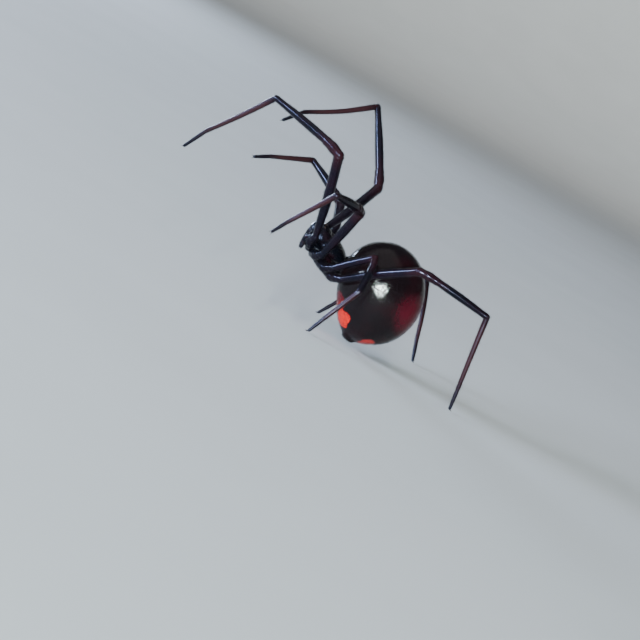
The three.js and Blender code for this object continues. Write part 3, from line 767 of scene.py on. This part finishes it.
# The spinnerets: six short jointed cones in a tight cluster on the mound at the tail, with a small knob above
# and one below. They are black shell tubes with soft tips, set in soft skin. One cone is modelled and copied.
CONE_RINGS = [
    (-0.14, 0.12), (0, 0.17), (0.14, 0.178), (0.22, 0.168), (0.24, 0.14),
    (0.34, 0.132), (0.42, 0.115), (0.47, 0.075), (0.49, 0.03),
]
TUBERCLE_RINGS = [(-0.1, 0.12), (0, 0.16), (0.1, 0.13), (0.17, 0.07), (0.19, 0.02)]
# Out to the side, towards the back, along the cluster's own axis, and size, of each pair
CONES = [(0.17, -0.15, -0.02, 1.0), (0.18, 0.16, -0.04, 0.92), (0.07, 0.02, 0.0, 0.55)]
CONE_SPLAY = 14
CONE_SPREAD = 40
spin_frame = HIND @ along(Vector((0, 3.2, -1.85)), Vector((0, 3.89, -2.6)), Vector((0, 0.75, 0.69)))
cone_model = ringed_part("spinneret_cone", CONE_RINGS, 12)
cones = []
for out, back, ahead, size in CONES:
    for sign in (1, -1):
        cone = copy_of(cone_model)
        splay = Matrix.Rotation(math.radians(-CONE_SPLAY * sign), 4, "X")
        lean = splay @ Matrix.Rotation(math.radians(CONE_SPREAD * -back), 4, "Y")
        set_in = Matrix.Translation((back, sign * out, ahead))
        place(cone, spin_frame @ set_in @ lean @ Matrix.Scale(size, 4))
        cones.append(cone)
tubercle = ringed_part("tubercle", TUBERCLE_RINGS, 12, 1.4)
place(tubercle, spin_frame @ Matrix.Translation((0.42, 0, -0.08)))
place(cone_model, spin_frame @ Matrix.Translation((-0.33, 0, -0.06)) @ Matrix.Scale(0.45, 4))
spinnerets = joined("spinneret_cluster", *cones, tubercle, cone_model)
finish_piece(spinnerets, "skin", shell_black, "spinnerets")

# The legs: eight chains of seven glossy black shell tubes, each with a collar that holds the next one's
# rounded end, redder at the knee and on the long thin foot, with two claws and a hook. Each pair's parts are
# modelled once, straight, then copied to the left and right leg and set in the pose.
LEG_LENGTHS = [
    {"femur": 6.5, "patella": 1.45, "tibia": 5.05, "metatarsus": 6.3, "tarsus": 2.1},
    {"femur": 4.55, "patella": 1.15, "tibia": 3.3, "metatarsus": 4.0, "tarsus": 1.5},
    {"femur": 3.2, "patella": 0.95, "tibia": 2.2, "metatarsus": 2.95, "tarsus": 1.3},
    {"femur": 6.4, "patella": 1.4, "tibia": 4.0, "metatarsus": 5.4, "tarsus": 1.5},
]
# Each pair's radii: the femur's middle, the knee, and the top of the tibia
LEG_RADII = [(0.35, 0.375, 0.335), (0.345, 0.37, 0.35), (0.28, 0.28, 0.25), (0.31, 0.32, 0.28)]
# Each pair's coxa, trochanter and femur, where they begin: forward, out to the side, and up, in the fore body
LEG_ROOTS = [
    ((0.48, 0.61, -1.0), (0.8, 1.24, -0.52), (0.78, 1.5, -0.04)),
    ((0.0, 0.72, -1.06), (-0.3, 1.46, -0.8), (-0.42, 1.87, -0.3)),
    ((-0.58, 0.72, -1.08), (-1.3, 1.46, -0.88), (-1.6, 1.87, -0.34)),
    ((-1.12, 0.52, -1.06), (-2.1, 1.37, -0.9), (-2.55, 1.97, -0.36)),
]
# Bearing and rise of the femur, shin, metatarsus and tarsus. A standing foot has only a bearing, and reaches
# down to the floor.
POSES = {
    "left": [
        ((63, 64), (-27.5, 7), (-40, -47), (-44, -54)),
        ((112, 60), (64, 5), (-33, -54), (-53, -49)),
        ((155, 42), (92, -49), -2),
        ((144, 33), (184, -6), -134),
    ],
    "right": [
        ((-112, 39.5), (-44, 48), (41, -26), (60, -31)),
        ((-76, 34), (-36, 19), (47, -15), (49, -19)),
        ((-125, 9), (-108, -34), 37),
        ((-124, 18.3), (-110.5, -9), 117),
    ],
}
PATELLA_LEAN = 0.15
ANKLE_RADIUS = 0.225
TOE_RADIUS = 0.155
TIP_RADIUS = 0.115
TOE_HEIGHT = 0.2
TIP_HEIGHT = 0.118
# The claws of a standing foot rise a little, so that they lie on the floor
CLAW_RISE = 4
# How far each claw is turned, how far it is set aside and down, and its size
CLAWS = [(22, 0.045, -0.01, 1.0), (-22, -0.045, -0.01, 1.0), (0, 0.0, -0.05, 0.6)]
CLAW_RINGS = [(-0.03, 0.02), (0, 0.026), (0.06, 0.023, 0.004), (0.12, 0.017, 0.022), (0.16, 0.01, 0.05),
              (0.18, 0.003, 0.075)]
# The solids of each leg
CAD_PARTS = ("coxa", "femur", "patella", "tibia", "foot")
# Hairs grow only this far out from the leg's middle line, and this high over the floor
HAIR_OUT = 0.09
HAIR_FLOOR = 0.24
# Where each part lies on the leg's unwrap, from its root to its claws
SPANS = {
    "coxa": (0.01, 0.07), "trochanter": (0.07, 0.1), "femur": (0.1, 0.4), "patella": (0.4, 0.48),
    "tibia": (0.48, 0.68), "metatarsus": (0.68, 0.9), "tarsus": (0.9, 0.985), "claws": (0.985, 0.99),
}
# What is added to the shell's colour along that unwrap
LEG_TINTS = [
    (0.0, (0, 0, 0)), (0.34, (0.001, 0, 0.0005)), (0.4, (0.007, 0.001, 0.001)),
    (0.47, (0.004, 0.0005, 0.0008)), (0.53, (0, 0, 0)), (0.67, (0.0005, 0, 0)),
    (0.72, (0.011, 0.0022, 0.0016)), (0.86, (0.012, 0.0025, 0.0018)),
    (0.92, (0.002, 0.0005, 0.0005)), (1.0, (0, 0, 0)),
]
LEG_TINT = (0.003, 0.0014, 0.0026, 1)
FOOT_BEGINS = (0.66, 0.72)
FOOT_DULLNESS = 2.5


def heading(bearing, rise):
    turn, lift = math.radians(bearing), math.radians(rise)
    return Vector((math.sin(turn) * math.cos(lift), -math.cos(turn) * math.cos(lift), math.sin(lift)))


def leg_joints(sizes, roots, pose, sign):
    to_part = Matrix.Scale(1 / MM, 4) @ FORE
    inner, ring, thigh = (to_part @ in_fore(f, sign * out, up) for f, out, up in roots)
    knee = thigh + heading(*pose[0]) * sizes["femur"]
    shin = knee + heading(*pose[1]).lerp(heading(*pose[0]), PATELLA_LEAN).normalized() * sizes["patella"]
    ankle = shin + heading(*pose[1]) * sizes["tibia"]
    if len(pose) == 4:
        toe = ankle + heading(*pose[2]) * sizes["metatarsus"]
        tip = toe + heading(*pose[3]) * sizes["tarsus"]
    else:
        drop = -math.degrees(math.asin((ankle.z - TOE_HEIGHT) / (sizes["metatarsus"] + sizes["tarsus"])))
        toe = ankle + heading(pose[2], drop) * sizes["metatarsus"]
        tip = toe + heading(pose[2], drop) * sizes["tarsus"]
        tip.z = TIP_HEIGHT
    return inner, ring, thigh, knee, shin, ankle, toe, tip


def tube(length, start, middle, end, bow, collar):
    """The rings of one tube: a rounded root, a neck, the tube itself, a collar and a rounded end."""
    rings = [(-0.86 * start, 0.4 * start), (-0.62 * start, 0.76 * start), (-0.25 * start, 0.96 * start),
             (0.05, start * 0.985), (0.16, start * 0.96)]
    begin, stop = 0.3, length - 0.26
    steps = max(3, round(length / 0.7))
    for i in range(steps + 1):
        share = i / steps
        swell = math.sin(math.pi * min(1, share * 1.15)) if share < 1 else 0
        radius = start + (end - start) * share + (middle - (start + end) / 2) * swell
        rings.append((begin + (stop - begin) * share, radius, bow * math.sin(math.pi * share)))
    rings += [(length - 0.15, end * collar), (length - 0.09, end * collar), (length - 0.05, end * 0.97)]
    rings += [(length + far * end, end * thick) for far, thick in ((0.3, 0.92), (0.6, 0.72), (0.85, 0.36))]
    return rings


def shell_tube(label, length, start, middle, end, bow, collar=1.07, sides=14):
    part = ringed_part(label, tube(length, start, middle, end, bow, collar), sides)
    unwrap_round(part, 0, length, *SPANS[label])
    return part


def nearest_run(roots, ends):
    """For each root, the way of the run between two joints that it lies nearest to, and how far out it is."""
    best = np.full(len(roots), np.inf)
    way = np.zeros_like(roots)
    for a, b in zip(ends, ends[1:]):
        run = b - a
        share = np.clip(((roots - a) @ run) / (run @ run), 0, 1)
        gap = np.linalg.norm(roots - a - share[:, None] * run, axis=1)
        way[gap < best] = run / np.linalg.norm(run)
        best = np.minimum(best, gap)
    return way, best


claw_model = ringed_part("claws", CLAW_RINGS, 8)
unwrap_round(claw_model, 0, CLAW_RINGS[-1][0], *SPANS["claws"])

leg_shell, leg_shader, _, leg_colour, leg_gloss = cuticle(
    "leg_shell", BLACK, LEG_TINT, roughness=0.15, grain=0.45, tint_size=1.1
)
leg_unwrap = node(leg_shell, "ShaderNodeUVMap", uv_map="UVMap").outputs["UV"]
leg_parts = node(leg_shell, "ShaderNodeSeparateXYZ", {"Vector": leg_unwrap}).outputs
leg_tints = tones(leg_shell, leg_parts["Y"], LEG_TINTS)
leg_sum = mixed(leg_shell, 1.0, leg_colour, leg_tints, blend_type="ADD")
feed(leg_shell, leg_shader.inputs["Base Color"], leg_sum)
# The metatarsus and tarsus are duller than the rest
leg_dull = ranged(leg_shell, leg_parts["Y"], FOOT_BEGINS, (1.0, FOOT_DULLNESS))
feed(leg_shell, leg_shader.inputs["Roughness"], maths(leg_shell, "MULTIPLY", leg_gloss, leg_dull))
# The shell is finely ringed across, so that its gloss spreads along the leg and stays narrow across it
leg_way = node(leg_shell, "ShaderNodeTangent", direction_type="UV_MAP", uv_map="UVMap").outputs["Tangent"]
feed(leg_shell, leg_shader.inputs["Tangent"], leg_way)
leg_shader.inputs["Anisotropic"].default_value = 0.5
leg_shader.inputs["Anisotropic Rotation"].default_value = 0.25
leg_shader.inputs["Specular Tint"].default_value = (0.6, 0.65, 1, 1)

for pair in range(4):
    sizes = LEG_LENGTHS[pair]
    femur_radius, knee_radius, shin_radius = LEG_RADII[pair]
    joints_of = {
        side: leg_joints(sizes, LEG_ROOTS[pair], POSES[side][pair], sign)
        for side, sign in (("left", 1), ("right", -1))
    }
    inner, ring, thigh = joints_of["left"][:3]
    shin_middle = (shin_radius + ANKLE_RADIUS) / 2 + 0.02
    femur, patella, tibia, metatarsus, tarsus = sizes.values()
    # Each tube's length, the radii at its start, middle and end, its bow, and how wide its collar is
    tubes = [
        ("coxa", (ring - inner).length, 0.33, 0.39, 0.34, 0.03, 1.08),
        ("trochanter", (thigh - ring).length, 0.32, 0.32, 0.28, 0.02),
        ("femur", femur, 0.245, femur_radius, knee_radius * 0.95, 0.012 * femur),
        ("patella", patella, knee_radius * 0.93, knee_radius * 1.04, shin_radius * 0.98, 0.04),
        ("tibia", tibia, shin_radius * 0.93, shin_middle, ANKLE_RADIUS, 0.03),
        ("metatarsus", metatarsus, ANKLE_RADIUS * 0.95, 0.18, TOE_RADIUS, 0.022 * metatarsus, 1.03),
        ("tarsus", tarsus, TOE_RADIUS * 0.95, 0.14, TIP_RADIUS, 0.0, 1.0),
    ]
    models = [shell_tube(*each) for each in tubes]
    for side, sign in (("left", 1), ("right", -1)):
        joints = joints_of[side]
        upper = joints[3] - (joints[2] + joints[5]) / 2
        parts = []
        for model, start, end in zip(models, joints, joints[1:]):
            parts.append(copy_of(model))
            place(parts[-1], Matrix.Scale(MM, 4) @ along(start, end, upper))
        toe, tip = joints[6:]
        standing = len(POSES[side][pair]) == 3
        ahead = heading(POSES[side][pair][2], CLAW_RISE) if standing else tip - toe
        foot_frame = along(tip + ahead.normalized() * TIP_RADIUS * 0.5, tip + ahead, upper)
        for spread, aside, drop, size in CLAWS:
            parts.append(copy_of(claw_model))
            lean = Matrix.Rotation(math.pi, 4, "Z") @ Matrix.Rotation(math.radians(spread), 4, "X")
            set_in = Matrix.Translation((drop, aside, 0.0))
            place(parts[-1], Matrix.Scale(MM, 4) @ foot_frame @ set_in @ lean @ Matrix.Scale(size, 4))
        leg = joined(f"leg_tubes_{side}_{pair + 1}", *parts)
        cad_name = f"leg_{side}_{pair + 1}_"
        finish_piece(leg, "leg", leg_shell, *(cad_name + part for part in CAD_PARTS))

        ends = np.array([list(joint) for joint in joints])
        hairs = grow_hairs(
            f"leg_hairs_{side}_{pair + 1}", leg, seed=51 + 2 * pair + (sign < 0),
            spacing=0.115, length=0.2, radius=0.006,
            lie=lambda roots, up: nearest_run(roots, ends)[0], lift=34,
            keep=lambda roots, up: (nearest_run(roots, ends)[1] > HAIR_OUT) & (roots[:, 2] > HAIR_FLOOR),
        )
        finish_piece(hairs, "leg", hair_black)
    for model in models:
        bpy.data.objects.remove(model)

# The palps: two short feelers beside the jaws, of jointed black shell tubes like the legs', with a claw each.
# They are rooted in soft skin by the mouth plates, and modelled as the legs are.
PALP_JOINTS = [
    (0.8, 0.62, -0.95), (1.12, 1.0, -0.3), (1.16, 1.04, -0.6), (1.08, 0.97, -0.96), (0.9, 0.84, -1.36),
]
# Each tube's radii at its start, middle and end
PALP_TUBES = [
    ("coxa", 0.15, 0.17, 0.175), ("femur", 0.17, 0.19, 0.18), ("tibia", 0.17, 0.195, 0.19),
    ("tarsus", 0.185, 0.205, 0.165),
]
for side, sign in (("left", 1), ("right", -1)):
    joints = [in_fore(f, sign * out, up) for f, out, up in PALP_JOINTS]
    parts = []
    for (label, *radii), start, end in zip(PALP_TUBES, joints, joints[1:]):
        part = shell_tube(label, (end - start).length, *radii, 0.01, 1.04, 12)
        place(part, FORE @ along(start, end, Vector((0, -1, 0))))
        parts.append(part)
    parts.append(copy_of(claw_model))
    way = (joints[-1] - joints[-2]).normalized()
    place(parts[-1], FORE @ along(joints[-1] + way * 0.07, joints[-1] + way, Vector((0, 1, 0))))
    palp = joined(f"palp_tubes_{side}", *parts)
    finish_piece(palp, "leg", leg_shell, f"palp_{side}")
    palp_way = fore_turn @ (0, 0.2, -1)
    seed = 71 + (sign < 0)
    palp_hairs = grow_hairs(f"palp_hairs_{side}", palp, seed, spacing=0.1, length=0.17, radius=0.006,
                            lie=lying(palp_way), lift=38)
    finish_piece(palp_hairs, "leg", hair_black)
bpy.data.objects.remove(claw_model)

# The floor: a wide plain pale sheet of matt board with its edge swept up all round, so that no edge shows
# behind the spider. It is a disc whose rim is drawn out in steps.
FLOOR_RADIUS = 0.55
SWEEP = 0.3
SWEEP_STEPS = 12
SWEEP_STEP = math.radians(80) / SWEEP_STEPS
FLOOR_CLOUDS = 1 / 60
bpy.ops.object.select_all(action="DESELECT")
bpy.ops.mesh.primitive_circle_add(vertices=96, radius=FLOOR_RADIUS, fill_type="NGON")
floor = bpy.context.object
floor.name = floor.data.name = "floor"
bpy.ops.object.mode_set(mode="EDIT")
bpy.ops.mesh.select_all(action="SELECT")
bpy.ops.mesh.select_mode(type="EDGE")
bpy.ops.mesh.region_to_loop()
reached = FLOOR_RADIUS
for step in range(1, SWEEP_STEPS + 1):
    angle = step * SWEEP_STEP
    radius = FLOOR_RADIUS + SWEEP * math.sin(angle)
    rise = SWEEP * (math.cos(angle - SWEEP_STEP) - math.cos(angle))
    bpy.ops.mesh.extrude_edges_move(TRANSFORM_OT_translate={"value": (0, 0, rise)})
    bpy.ops.transform.resize(value=(radius / reached, radius / reached, 1), center_override=(0, 0, 0))
    reached = radius
bpy.ops.mesh.select_all(action="SELECT")
bpy.ops.mesh.normals_make_consistent(inside=False)
bpy.ops.object.mode_set(mode="OBJECT")
bpy.ops.object.shade_smooth_by_angle(angle=math.radians(40))
pale, pale_shader = new_material("pale_floor")
pale_clouds = noise(pale, object_place(pale), FLOOR_CLOUDS, 4)
pale_tones = tones(pale, pale_clouds, [(0.0, (0.56, 0.55, 0.53)), (1.0, (0.62, 0.61, 0.59))])
feed(pale, pale_shader.inputs["Base Color"], pale_tones)
pale_shader.inputs["Roughness"].default_value = 0.8
floor.data.materials.append(pale)

# The light: a softbox behind the camera that makes the bright glint on the hind body, three long low ones at
# the picture's left that run a cool streak down each leg, a wide soft one overhead, and one on the backdrop.
CAMERA_RIGHT = Vector((-0.0696, 0.8660, 0.4951)).normalized()
CAMERA_BACK = Vector((0.9903, 0, 0.1392)).normalized()
CAMERA_UP = CAMERA_BACK.cross(CAMERA_RIGHT)
MIDDLE = Vector((0, 0, 0.007))


def seen(right, up, back):
    """A way as it lies in the picture."""
    return CAMERA_RIGHT * right + CAMERA_UP * up + CAMERA_BACK * back


def softbox(name, way, distance, width, height, power, colour, level=None):
    """A lit panel that faces the spider, with its width level or along a given way."""
    light = bpy.data.lights.new(name, "AREA")
    light.shape = "RECTANGLE"
    light.size, light.size_y = width, height
    light.energy = power
    light.color = colour
    box = bpy.data.objects.new(name, light)
    bpy.context.scene.collection.objects.link(box)
    way = way.normalized()
    box.location = MIDDLE + way * distance
    box.rotation_mode = "QUATERNION"
    level = level or Vector((0, 0, 1)).cross(way)
    across = (level - way * level.dot(way)).normalized()
    box.rotation_quaternion = Matrix((across, way.cross(across), way)).transposed().to_quaternion()
    return box


# Each one's way from the spider's middle, distance, width and height in metres, watts and colour
softbox("front_box", seen(-0.095, -0.08, 0.99), 0.36, 0.065, 0.035, 9, (0.84, 1.0, 0.95), seen(0.91, 0.42, 0))
softbox("left_box", Vector((0.24, -0.95, 0.2)), 0.34, 0.17, 0.03, 2.9, (0.6, 0.74, 1.0))
softbox("low_box", Vector((0.7, -0.7, 0.14)), 0.34, 0.06, 0.03, 0.8, (0.6, 0.76, 1.0))
softbox("edge_box", Vector((-0.81, -0.57, 0.13)), 0.34, 0.1, 0.03, 1.0, (0.6, 0.76, 1.0))
softbox("top_box", Vector((0.3, -0.5, 1)), 0.7, 0.9, 0.9, 2.0, (1.0, 0.98, 0.96))
back_box = softbox("back_box", Vector((-0.8, 0.1, 0.6)), 0.6, 0.5, 0.3, 1.0, (0.92, 0.96, 1.0))
back_box.rotation_quaternion = Vector((0.95, 0, 0.3)).to_track_quat("Z", "Y")

world = bpy.data.worlds.new("room")
bpy.context.scene.world = world
world.use_nodes = True
world.node_tree.nodes["Background"].inputs["Color"].default_value = (0.86, 0.88, 0.92, 1)
world.node_tree.nodes["Background"].inputs["Strength"].default_value = 0.08

# The camera: at the photograph's angle, level with the spider's left side, and rolled so that the spider
# leans as it does there
CAMERA_PLACE = Vector((0.160985, 0.001856, 0.02281))
camera_data = bpy.data.cameras.new("camera")
camera_data.sensor_width = 36
camera_data.lens = 130.5
camera_data.clip_start = 0.01
camera_data.clip_end = 20
camera = bpy.data.objects.new("camera", camera_data)
bpy.context.scene.collection.objects.link(camera)
camera_turn = Matrix((CAMERA_RIGHT, CAMERA_UP, CAMERA_BACK)).transposed().to_4x4()
camera.matrix_world = Matrix.Translation(CAMERA_PLACE) @ camera_turn
bpy.context.scene.camera = camera
